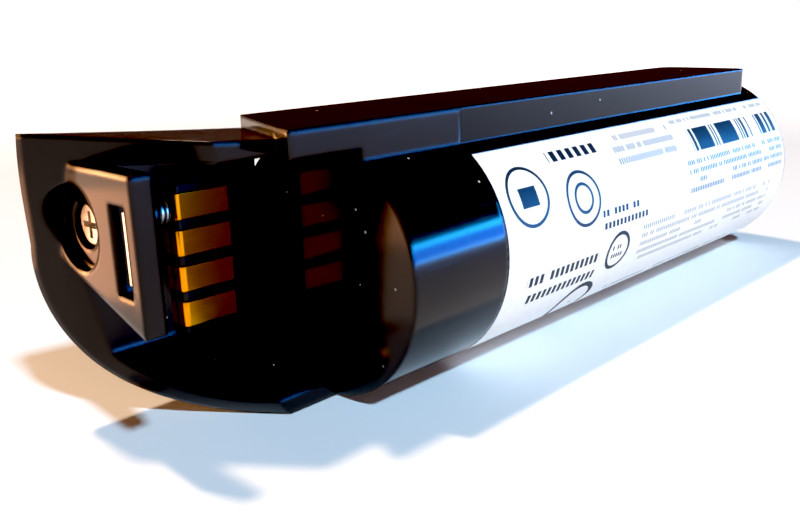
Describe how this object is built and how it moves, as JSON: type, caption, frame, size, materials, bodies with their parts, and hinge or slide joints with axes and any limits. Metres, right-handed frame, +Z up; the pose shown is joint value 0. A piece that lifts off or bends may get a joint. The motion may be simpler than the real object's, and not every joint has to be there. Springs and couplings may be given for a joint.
{
  "type": "cylindrical battery pack",
  "caption": "Round rechargeable handle battery: a labelled tube with a key rail, a scooped contact end and a captive screw.",
  "frame": {"origin": "centre of the bottom of the bounding box, on the line where the tube rests", "axes": "+X along the tube from the scooped contact end to the closed nose, +Z up through the key rail, +Y away from the open side of the contact pocket"},
  "size_m": [0.091, 0.022, 0.0236],
  "materials": {
    "housing_plastic": "gloss",
    "label_film": "satin",
    "gasket_rubber": "matte",
    "carrier_plastic": "matte",
    "gold_plate": "satin",
    "screw_steel": "satin",
    "board_green": "satin",
    "chip_black": "matte",
    "ceramic_tan": "matte",
    "insulator_paper": "matte",
    "nickel_steel": "satin",
    "sleeve_film": "gloss",
    "foil_aluminium": "satin",
    "electrode_foil": "matte",
    "amber_film": "gloss",
    "foam_black": "matte",
    "copper_wire": "satin"
  },
  "bodies": {
    "pack": {"cell_can": "nickel_steel", "cell_electrode_roll": "electrode_foil", "cell_gasket": "carrier_plastic", "cell_inner_lead": "foil_aluminium", "cell_lead_plate": "foil_aluminium", "cell_lower_insulator": "insulator_paper", "cell_mandrel": "carrier_plastic", "cell_sleeve": "sleeve_film", "cell_spacer": "insulator_paper", "cell_top_cap": "nickel_steel", "cell_upper_insulator": "insulator_paper", "cell_vent_disc": "foil_aluminium", "chip_resistors": "ceramic_tan", "contact_1": "gold_plate", "contact_2": "gold_plate", "contact_3": "gold_plate", "contact_4": "gold_plate", "contact_carrier": "carrier_plastic", "end_cap": "housing_plastic", "gauge_chip": "chip_black", "joint_gasket": "gasket_rubber", "label": "label_film", "negative_tab": "nickel_steel", "nose_foam_pad": "foam_black", "positive_tab": "nickel_steel", "power_transistors": "chip_black", "protection_board": "board_green", "slot_bar": "screw_steel", "tab_insulating_film": "amber_film", "thermistor": "ceramic_tan", "thermistor_leads": "copper_wire", "tube_housing": "housing_plastic"},
    "screw_carriage": {"screw_retaining_ring": "screw_steel"},
    "screw": {"captive_screw": "screw_steel"}
  },
  "joints": [
    {"name": "screw_travel", "type": "slide", "parent": "pack", "child": "screw_carriage", "axis": [1, 0, 0], "range_m": [0, 0.002]},
    {"name": "screw_turn", "type": "hinge", "parent": "screw_carriage", "child": "screw", "pos_m": [-0.04219, 0.0054, 0.0169], "axis": [1, 0, 0], "range_deg": [0, 1800]}
  ],
  "couplings": [
    {"joint": "screw_turn", "follows": "screw_travel", "rad_per_m": 15700}
  ]
}
